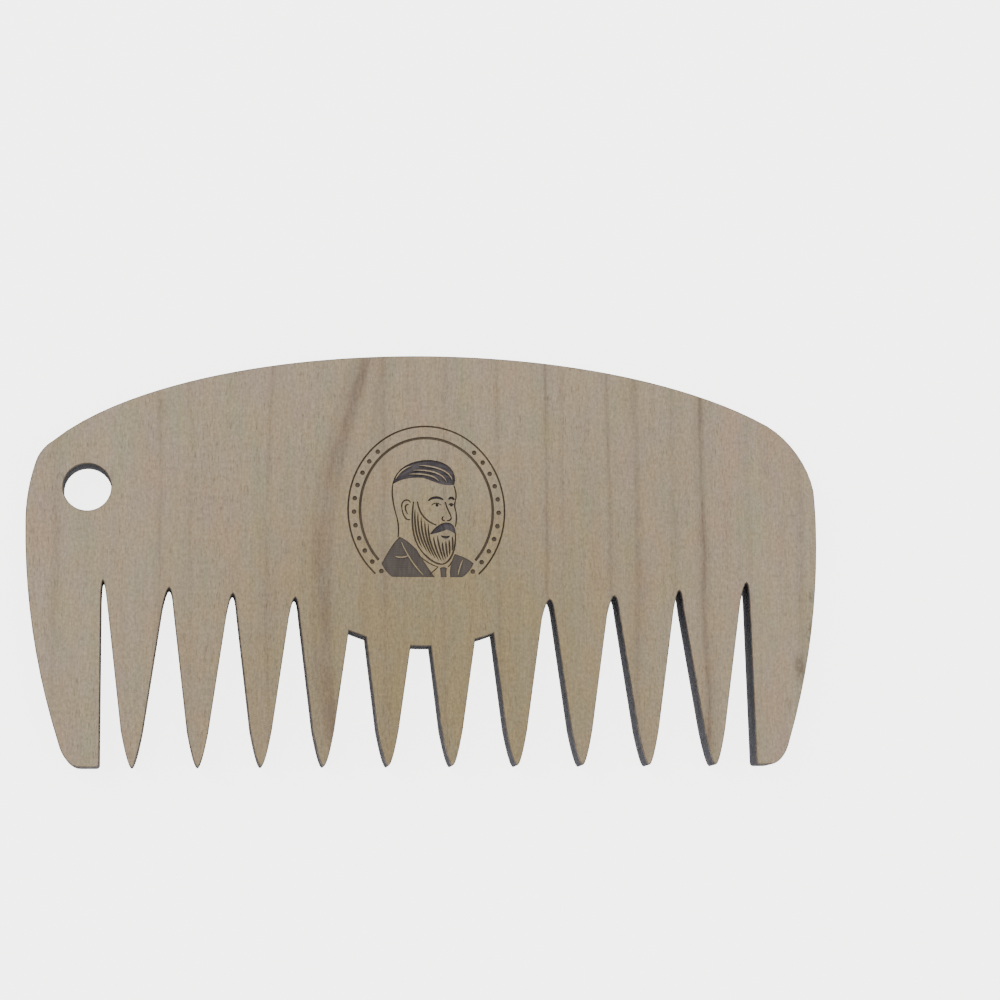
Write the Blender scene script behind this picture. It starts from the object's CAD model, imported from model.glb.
"""Finish of the beard comb: three plies of board, laser cut, engraved on the front and sanded.

The comb lies on its back on a pale table, teeth towards -Y and engraved side up. Each ply and each
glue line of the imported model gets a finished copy: its flat faces whole, its outer corners eased by
sanding, and its faces sorted into sanded wood, scorched corner, charred cut and burnt engraving.
"""

import math

import bmesh
import bpy
from mathutils import Euler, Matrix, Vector


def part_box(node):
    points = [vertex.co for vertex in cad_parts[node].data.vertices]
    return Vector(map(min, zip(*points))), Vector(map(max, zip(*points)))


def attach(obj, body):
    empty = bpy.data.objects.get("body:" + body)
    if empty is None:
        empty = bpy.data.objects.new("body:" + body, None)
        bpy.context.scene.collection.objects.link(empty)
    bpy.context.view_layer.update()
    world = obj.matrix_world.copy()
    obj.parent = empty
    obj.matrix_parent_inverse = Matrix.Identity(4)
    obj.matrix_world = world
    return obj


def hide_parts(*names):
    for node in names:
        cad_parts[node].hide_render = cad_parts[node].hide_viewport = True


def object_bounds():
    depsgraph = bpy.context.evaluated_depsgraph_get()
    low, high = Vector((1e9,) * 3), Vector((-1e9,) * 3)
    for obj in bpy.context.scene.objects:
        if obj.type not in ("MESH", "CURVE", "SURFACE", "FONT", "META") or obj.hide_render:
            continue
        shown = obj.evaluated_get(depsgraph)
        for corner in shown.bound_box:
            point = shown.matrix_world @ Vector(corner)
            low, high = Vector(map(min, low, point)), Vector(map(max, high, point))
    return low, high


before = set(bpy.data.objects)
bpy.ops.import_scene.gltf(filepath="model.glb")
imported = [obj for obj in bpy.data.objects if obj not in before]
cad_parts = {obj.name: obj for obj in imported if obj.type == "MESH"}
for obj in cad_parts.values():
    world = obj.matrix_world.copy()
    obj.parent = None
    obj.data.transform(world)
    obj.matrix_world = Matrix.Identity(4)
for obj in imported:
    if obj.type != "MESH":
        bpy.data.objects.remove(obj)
cad_low, cad_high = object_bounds()

MM = 0.001
BOARD_TOP = cad_high.z
BOARD_BACK = cad_low.z

# Depth of each kind of engraving below the face
DARK_DEPTH = 0.3 * MM
LINE_DEPTH = 0.22 * MM
CLOTH_DEPTH = 0.14 * MM
# Two heights or points closer than this are the same
SAME_HEIGHT = 0.02 * MM
SAME_POINT = 0.0001 * MM
# How far sanding eases the outer corners
EASED = 0.12 * MM


# ---- Camera, light and table ----

# The lens in mm and the shift of its view, and the camera's place in mm and turns in degrees
LENS = 85.8
LENS_SHIFT = (0.04, 0.05)
CAMERA_PLACE = (-30.6, -43.9, 298.4)
CAMERA_TURNS = (8.7, -6.6, -0.65)


def set_camera():
    """A lens close over the teeth, left of the middle, looking down and slightly outwards."""
    lens = bpy.data.cameras.new("bench_camera")
    lens.lens = LENS
    lens.sensor_width = 36
    lens.shift_x, lens.shift_y = LENS_SHIFT
    lens.clip_start = 0.01
    lens.clip_end = 10
    camera = bpy.data.objects.new("bench_camera", lens)
    camera.location = Vector(CAMERA_PLACE) * MM
    camera.rotation_euler = Euler([math.radians(turn) for turn in CAMERA_TURNS])
    bpy.context.scene.collection.objects.link(camera)
    bpy.context.scene.camera = camera


def soft_light(name, place, size, power):
    """A square softbox at a place, aimed at the middle of the comb."""
    lamp = bpy.data.lights.new(name, "AREA")
    lamp.shape = "SQUARE"
    lamp.size = size
    lamp.energy = power
    box = bpy.data.objects.new(name, lamp)
    box.location = place
    box.rotation_euler = (-Vector(place)).to_track_quat("-Z", "Y").to_euler()
    bpy.context.scene.collection.objects.link(box)


def set_room(strength):
    """Even pale light from all round."""
    room = bpy.data.worlds.new("studio")
    bpy.context.scene.world = room
    room.use_nodes = True
    air = room.node_tree.nodes["Background"]
    air.inputs["Color"].default_value = (1, 0.99, 0.975, 1)
    air.inputs["Strength"].default_value = strength


# Radius of the table's flat part, radius of the curve round it and height of the wall above, in metres
TABLE_FLAT = 1.2
TABLE_CURVE = 0.6
TABLE_RISE = 1.5
# Steps in the curve and sides of the table
TABLE_STEPS = 12
TABLE_SIDES = 96
# How far the table lies under the comb
TABLE_GAP = 0.05 * MM


def table_circle(filled):
    """The table's flat part, or only its edge."""
    mesh = bmesh.new()
    bmesh.ops.create_circle(mesh, cap_ends=filled, segments=TABLE_SIDES, radius=TABLE_FLAT)
    bmesh.ops.translate(mesh, verts=mesh.verts, vec=(0, 0, BOARD_BACK - TABLE_GAP))
    return mesh


def lay_table():
    """A pale flat top, which lights the cut walls, and a rim that curves up round it and lights nothing."""
    finish = pale_table()
    top = piece_from(table_circle(True), "table_top", [finish])
    mesh = table_circle(False)
    reach, height = TABLE_FLAT, 0
    rings = []
    for step in range(1, TABLE_STEPS + 1):
        turn = math.radians(90) * step / TABLE_STEPS
        rings.append((TABLE_FLAT + TABLE_CURVE * math.sin(turn), TABLE_CURVE * (1 - math.cos(turn))))
    rings.append((rings[-1][0], rings[-1][1] + TABLE_RISE))
    edges = mesh.edges[:]
    for new_reach, new_height in rings:
        grown = bmesh.ops.extrude_edge_only(mesh, edges=edges)["geom"]
        edges = [part for part in grown if isinstance(part, bmesh.types.BMEdge)]
        verts = [part for part in grown if isinstance(part, bmesh.types.BMVert)]
        edges = [edge for edge in edges if all(vert in verts for vert in edge.verts)]
        bmesh.ops.scale(mesh, verts=verts, vec=(new_reach / reach, new_reach / reach, 1))
        bmesh.ops.translate(mesh, verts=verts, vec=(0, 0, new_height - height))
        reach, height = new_reach, new_height
    bmesh.ops.recalc_face_normals(mesh, faces=mesh.faces)
    bmesh.ops.reverse_faces(mesh, faces=mesh.faces)
    rim = piece_from(mesh, "table_rim", [finish])
    rim.visible_diffuse = False
    for part in (top, rim):
        part.visible_glossy = False
        part.visible_shadow = False


# ---- Making materials ----

def add(tree, kind, joins=None, **settings):
    """A shader node with its settings, each input given a value or joined to another node's output."""
    node = tree.nodes.new("ShaderNode" + kind)
    for name, value in settings.items():
        setattr(node, name, value)
    for name, value in (joins or {}).items():
        socket = node.inputs[name]
        if isinstance(value, bpy.types.NodeSocket):
            tree.links.new(value, socket)
        else:
            socket.default_value = value
    return node


def sum_of(tree, how, *terms):
    """The result of one sum on numbers or outputs."""
    return add(tree, "Math", dict(enumerate(terms)), operation=how).outputs[0]


def mixed(tree, share, base, top, how="MIX"):
    """Two colours mixed."""
    node = add(tree, "Mix", {0: share, 6: base, 7: top}, data_type="RGBA", blend_type=how)
    return node.outputs[2]


def between(tree, value, low, high, out_low=0.0, out_high=1.0):
    """A value eased from one span onto another, and held at the ends."""
    joins = {"Value": value, "From Min": low, "From Max": high, "To Min": out_low, "To Max": out_high}
    return add(tree, "MapRange", joins, interpolation_type="SMOOTHSTEP").outputs[0]


def board_place(tree):
    """The place on the board, in millimetres."""
    place = add(tree, "TexCoord").outputs["Object"]
    return add(tree, "VectorMath", {0: place, "Scale": 1 / MM}, operation="SCALE").outputs[0]


def cloud(tree, place, waves, shift=0.0, detail=2.0, rough=0.5):
    """Smooth noise about 0.5, so many waves to the millimetre along each direction."""
    spread = add(tree, "Mapping", {"Vector": place, "Location": (shift, shift, shift), "Scale": waves})
    joins = {"Vector": spread.outputs[0], "Scale": 1.0, "Detail": detail, "Roughness": rough}
    return add(tree, "TexNoise", joins).outputs[0]


def new_finish(name, colour, rough, shine):
    """A finish with its plain colour for simple viewers, and its tree and shader node."""
    finish = bpy.data.materials.new(name)
    finish.use_nodes = True
    finish.diffuse_color = (*colour, 1)
    shader = finish.node_tree.nodes["Principled BSDF"]
    shader.inputs["Base Color"].default_value = (*colour, 1)
    shader.inputs["Roughness"].default_value = rough
    shader.inputs["Specular IOR Level"].default_value = shine
    return finish, finish.node_tree, shader


def join_finish(tree, shader, colour, rough=None, height=None, depth=0.0):
    """Joins colour, roughness and a bump of so many metres to the shader."""
    tree.links.new(colour, shader.inputs["Base Color"])
    if rough is not None:
        tree.links.new(rough, shader.inputs["Roughness"])
    if height is not None:
        bump = add(tree, "Bump", {"Height": height, "Distance": depth, "Strength": 1.0})
        tree.links.new(bump.outputs[0], shader.inputs["Normal"])


# ---- The wood ----

# Sanded wood where it is pale, where it turns pink or green, in the olive middle, and in streaks and pores
PALE_WOOD = (0.425, 0.340, 0.238)
PINK_WOOD = (0.432, 0.326, 0.234)
GREEN_WOOD = (0.400, 0.342, 0.226)
OLIVE_WOOD = (0.330, 0.262, 0.140)
STREAK_WOOD = (0.206, 0.146, 0.108)
PORE_WOOD = (0.130, 0.088, 0.060)

# Waves to the millimetre across the grain, along it and through the board, of each pattern in the wood
DRIFT_WAVES = (0.30, 0.09, 0.3)
FIBRE_WAVES = (5.0, 0.45, 5.0)
BAND_WAVES = (1.3, 0.05, 1.3)
SPECK_WAVES = (3.0, 2.2, 3.0)
BLUSH_WAVES = (0.45, 0.2, 0.45)
PORE_WAVES = (8.5, 0.75, 8.5)
PORE_GROUP_WAVES = (0.35, 0.05, 0.35)
# The same for how the dark streaks waver and fade
WAVER_WAVES = (0.09, 0.07, 0)
FADE_WAVES = (0.25, 0.12, 0)

# How far a streak wavers to each side, in half widths
WAVER = 1.3
# How dark the pores are, and how deep beside the relief of the fibres
PORE_SHARE = 0.5
PORE_DEPTH = 0.8
# Height of the relief of sanded wood
WOOD_RELIEF = 0.02 * MM

# Tints of the patches that drift across the board
WARM_TINT = (1.03, 1.0, 0.95, 1)
COOL_TINT = (0.98, 0.995, 1.05, 1)

# The middle of the olive part of the board, in mm, how far it reaches and how strong it is there
OLIVE_MIDDLE = (1, -17, 4)
OLIVE_REACH = 52
OLIVE_SHARE = 0.95

# Dark streaks: place along the comb in mm, lean, bow per mm, half width in mm and darkness
FRONT_STREAKS = [
    (-46.3, 0.0, 0.0, 0.5, 0.18),
    (-33.5, 0.0, 0.0, 0.22, 0.34),
    (-29.7, 0.0, 0.0, 0.35, 0.18),
    (-20.3, 0.01, 0.001, 0.25, 0.28),
    (-13.5, 0.064, 0.0058, 0.75, 0.55),
    (-12.4, 0.07, 0.005, 0.35, 0.30),
    (-14.6, 0.05, 0.006, 0.3, 0.16),
    (-8.1, 0.04, 0.002, 0.3, 0.20),
    (-5.6, 0.0, 0.0, 0.4, 0.34),
    (-2.9, 0.02, 0.0, 0.2, 0.20),
    (2.0, 0.01, 0.0, 0.3, 0.24),
    (8.9, 0.0, 0.0, 0.22, 0.26),
    (15.1, 0.0, 0.0, 0.2, 0.46),
    (17.2, 0.0, 0.0, 0.2, 0.16),
    (23.2, 0.0, 0.0, 0.25, 0.38),
    (26.6, 0.01, 0.0, 0.45, 0.34),
    (31.4, 0.0, 0.0, 0.3, 0.20),
    (35.2, 0.0, 0.0, 0.34, 0.74),
    (41.3, 0.0, 0.0, 0.2, 0.14),
    (47.8, 0.02, 0.0, 0.4, 0.28),
]
BACK_STREAKS = [
    (-41.0, 0.02, 0.001, 0.5, 0.30),
    (-27.5, 0.03, 0.002, 0.3, 0.44),
    (-14.8, 0.0, 0.003, 1.0, 0.20),
    (-3.1, -0.02, 0.003, 0.3, 0.36),
    (7.4, -0.03, 0.002, 0.6, 0.24),
    (19.6, 0.0, 0.001, 0.25, 0.50),
    (24.2, 0.01, 0.0, 0.4, 0.20),
    (39.3, 0.03, 0.0, 0.4, 0.34),
]


def grain_streaks(tree, place, streaks):
    """How dark the streaks of the grain are: each a soft line that leans and wavers along the teeth."""
    waver = between(tree, cloud(tree, place, WAVER_WAVES, detail=4), 0, 1, -WAVER, WAVER)
    along = add(tree, "SeparateXYZ", {0: place}).outputs[1]
    bowed = sum_of(tree, "MULTIPLY", along, along)
    total = 0.0
    for across, lean, bow, half, darkness in streaks:
        slope = (1 / half, -lean / half, 0)
        off = add(tree, "VectorMath", {0: place, 1: slope}, operation="DOT_PRODUCT").outputs["Value"]
        off = sum_of(tree, "MULTIPLY_ADD", bowed, -bow / half, off)
        off = sum_of(tree, "SUBTRACT", off, across / half)
        off = sum_of(tree, "ADD", off, waver)
        fall = sum_of(tree, "MULTIPLY_ADD", off, off, 1.0)
        total = sum_of(tree, "ADD", sum_of(tree, "DIVIDE", darkness, fall), total)
    fade = between(tree, cloud(tree, place, FADE_WAVES, shift=7, detail=4), 0.25, 0.7, 0.6, 1.2)
    return sum_of(tree, "MULTIPLY", total, fade)


def wood_colour(tree, place, streaks, shift):
    """Colour of sanded wood, and its height for the bump."""
    drift = cloud(tree, place, DRIFT_WAVES, shift=shift, detail=2)
    colour = mixed(tree, between(tree, drift, 0.30, 0.50), (*GREEN_WOOD, 1), (*PALE_WOOD, 1))
    colour = mixed(tree, between(tree, drift, 0.50, 0.70), colour, (*PINK_WOOD, 1))
    away = add(tree, "VectorMath", {0: place, 1: OLIVE_MIDDLE}, operation="DISTANCE").outputs["Value"]
    colour = mixed(tree, between(tree, away, OLIVE_REACH, 0, 0.0, OLIVE_SHARE), colour, (*OLIVE_WOOD, 1))
    colour = mixed(tree, grain_streaks(tree, place, streaks), colour, (*STREAK_WOOD, 1))
    fibre = cloud(tree, place, FIBRE_WAVES, shift=shift, detail=4, rough=0.65)
    bands = cloud(tree, place, BAND_WAVES, shift=shift + 3, detail=3, rough=0.6)
    speck = cloud(tree, place, SPECK_WAVES, shift=shift + 5, detail=3, rough=0.75)
    tone = between(tree, fibre, 0.2, 0.8, 0.88, 1.12)
    tone = sum_of(tree, "MULTIPLY", tone, between(tree, bands, 0.25, 0.75, 0.95, 1.05))
    tone = sum_of(tree, "MULTIPLY", tone, between(tree, speck, 0.25, 0.75, 0.80, 1.20))
    colour = mixed(tree, 1.0, colour, tone, "MULTIPLY")
    blush = between(tree, cloud(tree, place, BLUSH_WAVES, shift=shift + 17, detail=3), 0.35, 0.65)
    colour = mixed(tree, 1.0, colour, mixed(tree, blush, WARM_TINT, COOL_TINT), "MULTIPLY")
    dashes = cloud(tree, place, PORE_WAVES, shift=shift + 11, detail=1.5, rough=0.5)
    groups = cloud(tree, place, PORE_GROUP_WAVES, shift=shift + 13)
    groups = between(tree, groups, 0.35, 0.65, 0.25, 1.0)
    pores = sum_of(tree, "MULTIPLY", between(tree, dashes, 0.60, 0.71), groups)
    colour = mixed(tree, sum_of(tree, "MULTIPLY", pores, PORE_SHARE), colour, (*PORE_WOOD, 1))
    height = sum_of(tree, "SUBTRACT", fibre, sum_of(tree, "MULTIPLY", pores, PORE_DEPTH))
    return colour, height


# Spots of soot rubbed into the face near the outer edge of an end tooth: place, size in mm and darkness
SOOT_SPOTS = [
    ((48.7, -9.2, 4), (0.6, 2.4, 4), 0.55),
    ((47.2, -13.7, 4), (1.0, 2.6, 4), 0.55),
    ((49.0, -4.6, 4), (0.5, 1.3, 4), 0.45),
    ((45.5, -6.9, 4), (0.5, 0.4, 4), 0.25),
    ((45.7, -18.2, 4), (0.6, 1.3, 4), 0.25),
]
# Waves to the millimetre of the breaks in them
SOOT_WAVES = (2.6, 1.3, 2.6)


def rubbed_soot(tree, place, colour):
    """The colour with a few broken spots of soot on it."""
    broken = between(tree, cloud(tree, place, SOOT_WAVES, shift=17, detail=3), 0.34, 0.56)
    for middle, size, darkness in SOOT_SPOTS:
        near = add(tree, "VectorMath", {0: place, 1: middle}, operation="SUBTRACT").outputs[0]
        near = add(tree, "VectorMath", {0: near, 1: size}, operation="DIVIDE").outputs[0]
        near = add(tree, "VectorMath", {0: near}, operation="LENGTH").outputs["Value"]
        share = sum_of(tree, "MULTIPLY", between(tree, near, 1.0, 0.2, 0.0, darkness), broken)
        colour = mixed(tree, share, colour, (*PORE_WOOD, 1))
    return colour


def sanded_wood(name, streaks, shift, spotted):
    """A sanded, unvarnished face with the grain along the teeth."""
    finish, tree, shader = new_finish(name, PALE_WOOD, 0.72, 0.25)
    place = board_place(tree)
    colour, height = wood_colour(tree, place, streaks, shift)
    if spotted:
        colour = rubbed_soot(tree, place, colour)
    rough = between(tree, height, 0.2, 0.8, 0.82, 0.66)
    join_finish(tree, shader, colour, rough, height, WOOD_RELIEF)
    return finish


# ---- Burnt wood ----

# The soot of a cut wall and the brown that shows through it, and the height of its relief
CHAR = (0.040, 0.041, 0.050)
CHAR_BROWN = (0.058, 0.050, 0.047)
CHAR_RELIEF = 0.04 * MM

# A sanded corner as a whole, where it stays dark and where it is rubbed pale
CORNER_BROWN = (0.15, 0.115, 0.088)
CORNER_DARK = (0.12, 0.094, 0.078)
CORNER_PALE = (0.215, 0.170, 0.125)

# Each kind of engraved floor where it is dark and where it is light, and the height of its relief
DARK_FLOOR = ((0.056, 0.049, 0.056), (0.124, 0.108, 0.114))
LINE_FLOOR = ((0.105, 0.082, 0.060), (0.175, 0.138, 0.098))
CLOTH_FLOOR = ((0.080, 0.067, 0.061), (0.132, 0.110, 0.096))
FLOOR_RELIEF = 0.015 * MM


def charred_cut(name, tone, streak_wide):
    """The wall of a laser cut: soot, with upright marks of the beam where it slowed or met a fibre."""
    colour = tuple(part * tone for part in CHAR)
    finish, tree, shader = new_finish(name, colour, 0.9, 0.06)
    place = board_place(tree)
    marks = cloud(tree, place, (streak_wide, streak_wide, 0.15), detail=3, rough=0.65)
    soot = cloud(tree, place, (1.3, 1.3, 2.5), shift=4, detail=3, rough=0.6)
    burnt = mixed(tree, between(tree, marks, 0.45, 0.75), (*colour, 1), (*CHAR_BROWN, 1))
    burnt = mixed(tree, 1.0, burnt, between(tree, soot, 0.25, 0.75, 0.7, 1.3), "MULTIPLY")
    rough = between(tree, soot, 0.3, 0.7, 0.8, 0.98)
    join_finish(tree, shader, burnt, rough, marks, CHAR_RELIEF)
    return finish


def scorched_corner():
    """The eased outer corner: sanded through the soot in places, brown and dark in others."""
    finish, tree, shader = new_finish("scorched_corner", CORNER_BROWN, 0.75, 0.12)
    place = board_place(tree)
    rubbed = cloud(tree, place, (0.8, 0.8, 0.8), detail=4, rough=0.65)
    colour = mixed(tree, between(tree, rubbed, 0.38, 0.68), (*CORNER_DARK, 1), (*CORNER_PALE, 1))
    join_finish(tree, shader, colour, None, rubbed, WOOD_RELIEF)
    return finish


# The point that the engraved strands of hair curve round, in mm, and their waves to the millimetre
STRAND_MIDDLE = (0.8, 3.5, 3.7)
STRAND_WAVES = (3.2, 0.22, 1)


def strands(tree, place):
    """Fine curved strands, as dark as 0 and as light as 1."""
    out = add(tree, "VectorMath", {0: place, 1: STRAND_MIDDLE}, operation="DISTANCE").outputs["Value"]
    along = add(tree, "SeparateXYZ", {0: place}).outputs[0]
    swept = add(tree, "CombineXYZ", {0: out, 1: along}).outputs[0]
    return between(tree, cloud(tree, swept, STRAND_WAVES, shift=5, detail=2), 0.38, 0.66)


def burnt_floor(name, tones, row_gap, stranded=False):
    """An engraved floor, burnt in rows by the beam, with the grain still showing, and strands in hair."""
    dark, light = tones
    finish, tree, shader = new_finish(name, dark, 0.8, 0.2)
    place = board_place(tree)
    across = add(tree, "SeparateXYZ", {0: place}).outputs[1]
    rows = sum_of(tree, "SINE", sum_of(tree, "MULTIPLY", across, math.tau / row_gap))
    rows = sum_of(tree, "MULTIPLY_ADD", rows, 0.5, 0.5)
    fibre = cloud(tree, place, (6, 0.4, 6), shift=2, detail=3, rough=0.65)
    patch = cloud(tree, place, (0.9, 0.5, 0.9), shift=9, detail=2)
    share = sum_of(tree, "MULTIPLY_ADD", rows, 0.25, between(tree, fibre, 0.3, 0.75, 0.0, 0.55))
    share = sum_of(tree, "ADD", share, between(tree, patch, 0.35, 0.7, -0.1, 0.25))
    if stranded:
        share = sum_of(tree, "MULTIPLY_ADD", strands(tree, place), 0.8, sum_of(tree, "MULTIPLY", share, 0.5))
    colour = mixed(tree, share, (*dark, 1), (*light, 1))
    height = sum_of(tree, "MULTIPLY_ADD", rows, 0.5, fibre)
    join_finish(tree, shader, colour, None, height, FLOOR_RELIEF)
    return finish


# The table's paper as a whole, its darker and paler flecks, and the colour and strength of its glow
PAPER = (0.9, 0.9, 0.89)
PAPER_DARK = (0.89, 0.89, 0.88)
PAPER_PALE = (0.91, 0.91, 0.9)
PAPER_GLOW = (1, 0.995, 0.985)
GLOW_STRENGTH = 4.0


def pale_table():
    """The table's smooth pale paper."""
    finish, tree, shader = new_finish("pale_table", PAPER, 0.9, 0.1)
    flecks = cloud(tree, board_place(tree), (0.8, 0.8, 0.8), detail=3)
    join_finish(tree, shader, mixed(tree, flecks, (*PAPER_DARK, 1), (*PAPER_PALE, 1)))
    shader.inputs["Emission Color"].default_value = (*PAPER_GLOW, 1)
    shader.inputs["Emission Strength"].default_value = GLOW_STRENGTH
    return finish


# The unseen flats of the core ply and the glue
BARE_CORE = (0.42, 0.34, 0.24)
SET_GLUE = (0.30, 0.22, 0.12)


def bare_wood(name, colour, grain):
    """The unseen flat of a ply, against the glue."""
    finish, tree, shader = new_finish(name, colour, 0.75, 0.25)
    fibre = cloud(tree, board_place(tree), grain, detail=3)
    darker = tuple(part * 0.8 for part in colour)
    join_finish(tree, shader, mixed(tree, fibre, (*colour, 1), (*darker, 1)), None, fibre, WOOD_RELIEF)
    return finish


# ---- The plies ----

# Faces that turn less than this from each other are one flat, and edges that turn more are sharp
ONE_FLAT = math.radians(0.5)
SHARP_EDGE = math.radians(20)
# The upward part of the normal on a flat face at least, and on a cut wall at most
FLAT_NORMAL = 0.99
WALL_NORMAL = 0.05
# A face that reaches lower than this is no part of the engraving
BELOW_ENGRAVING = BOARD_TOP - 2 * DARK_DEPTH


def piece_from(mesh, name, finishes):
    """A finished object from a mesh in work, flat faces crisp and the curves of the cut smooth."""
    data = bpy.data.meshes.new(name)
    mesh.to_mesh(data)
    mesh.free()
    if "custom_normal" in data.attributes:
        data.attributes.remove(data.attributes["custom_normal"])
    for finish in finishes:
        data.materials.append(finish)
    data.shade_smooth()
    data.set_sharp_from_angle(angle=SHARP_EDGE)
    piece = bpy.data.objects.new(name, data)
    bpy.context.scene.collection.objects.link(piece)
    return piece


def whole_copy(node):
    """A copy of one ply with its points merged and each flat face in few pieces."""
    mesh = bmesh.new()
    mesh.from_mesh(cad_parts[node].data)
    bmesh.ops.remove_doubles(mesh, verts=mesh.verts, dist=SAME_POINT)
    bmesh.ops.dissolve_limit(mesh, angle_limit=ONE_FLAT, verts=mesh.verts, edges=mesh.edges)
    mesh.normal_update()
    return mesh


def is_flat(face):
    """Whether a face lies level."""
    return abs(face.normal.z) > FLAT_NORMAL


def is_wall(face):
    """Whether a face stands upright."""
    return abs(face.normal.z) < WALL_NORMAL


def height_span(face):
    """The lowest and highest point of a face."""
    heights = [vert.co.z for vert in face.verts]
    return min(heights), max(heights)


def ease_corner(mesh, height, far_side):
    """Rounds the outer corner at a height, where the cut walls that reach the far side meet it."""
    corner = []
    for edge in mesh.edges:
        level = all(abs(vert.co.z - height) < SAME_HEIGHT for vert in edge.verts)
        walls = [face for face in edge.link_faces if is_wall(face)]
        if level and len(walls) == 1:
            if any(abs(end - far_side) < SAME_HEIGHT for end in height_span(walls[0])):
                corner.append(edge)
    bmesh.ops.bevel(
        mesh,
        geom=corner,
        offset=EASED,
        offset_type="OFFSET",
        segments=2,
        profile=0.5,
        affect="EDGES",
        clamp_overlap=False,
        material=-1,
    )
    mesh.normal_update()


def sort_faces(mesh, kind):
    """Gives each face the number of its finish."""
    for face in mesh.faces:
        face.material_index = kind(face)


def front_kind(face):
    """0 sanded face, 1 eased corner, 2 cut wall, 3 dark floor, 4 line floor, 5 cloth floor, 6 unseen."""
    low, high = height_span(face)
    if is_wall(face):
        return 2 if low < BELOW_ENGRAVING else 4
    if not is_flat(face):
        return 1
    if low < BELOW_ENGRAVING:
        return 6
    for number, depth in ((3, DARK_DEPTH), (4, LINE_DEPTH), (5, CLOTH_DEPTH)):
        if abs(BOARD_TOP - depth - high) < SAME_HEIGHT:
            return number
    return 0


def back_kind(face):
    """0 sanded face, 1 eased corner, 2 cut wall, 3 unseen."""
    if is_wall(face):
        return 2
    if not is_flat(face):
        return 1
    return 0 if height_span(face)[0] < BOARD_BACK + SAME_HEIGHT else 3


def inner_kind(face):
    """0 cut wall, 1 unseen."""
    return 0 if is_wall(face) else 1


def set_in_place(piece, node):
    """The finished copy stands for its ply."""
    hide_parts(node)
    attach(piece, "root")


def front_ply(face_cut, corner, unseen):
    """The engraved ply."""
    mesh = whole_copy("front_veneer")
    ease_corner(mesh, BOARD_TOP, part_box("front_veneer")[0].z)
    sort_faces(mesh, front_kind)
    finishes = [
        sanded_wood("sanded_front", FRONT_STREAKS, 0.0, True),
        corner,
        face_cut,
        burnt_floor("burnt_dark", DARK_FLOOR, 0.2, stranded=True),
        burnt_floor("burnt_line", LINE_FLOOR, 0.2),
        burnt_floor("burnt_cloth", CLOTH_FLOOR, 0.28),
        unseen,
    ]
    set_in_place(piece_from(mesh, "front_ply_engraved", finishes), "front_veneer")


def back_ply(face_cut, corner, unseen):
    """The plain ply underneath."""
    mesh = whole_copy("back_veneer")
    ease_corner(mesh, BOARD_BACK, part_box("back_veneer")[1].z)
    sort_faces(mesh, back_kind)
    finishes = [sanded_wood("sanded_back", BACK_STREAKS, 21.0, False), corner, face_cut, unseen]
    set_in_place(piece_from(mesh, "back_ply_plain", finishes), "back_veneer")


def inner_layer(node, name, cut, unseen):
    """The core ply or a glue line, seen only at the cut."""
    mesh = whole_copy(node)
    sort_faces(mesh, inner_kind)
    set_in_place(piece_from(mesh, name, [cut, unseen]), node)


def clear_bench():
    """Removes what an empty file starts with."""
    for name in ("Cube", "Light", "Camera"):
        thing = bpy.data.objects.get(name)
        if thing is not None:
            bpy.data.objects.remove(thing)


clear_bench()
set_camera()
set_room(0.70)
soft_light("window_side", (-0.45, 0.30, 0.60), 0.45, 2.6)
soft_light("far_side", (0.50, -0.10, 0.65), 0.45, 1.2)
lay_table()

face_cut = charred_cut("charred_face_ply", 1.0, 3.0)
core_cut = charred_cut("charred_core_ply", 0.88, 5.0)
glue_cut = charred_cut("charred_glue", 0.65, 1.2)
corner = scorched_corner()
face_unseen = bare_wood("bare_face_ply", PALE_WOOD, (5, 0.3, 5))
core_unseen = bare_wood("bare_core_ply", BARE_CORE, (0.3, 5, 5))
glue_unseen = bare_wood("set_glue", SET_GLUE, (0.6, 0.6, 0.6))

front_ply(face_cut, corner, face_unseen)
inner_layer("front_glue_line", "front_glue_seam", glue_cut, glue_unseen)
inner_layer("core_ply", "core_ply_cross_grain", core_cut, core_unseen)
inner_layer("back_glue_line", "back_glue_seam", glue_cut, glue_unseen)
back_ply(face_cut, corner, face_unseen)
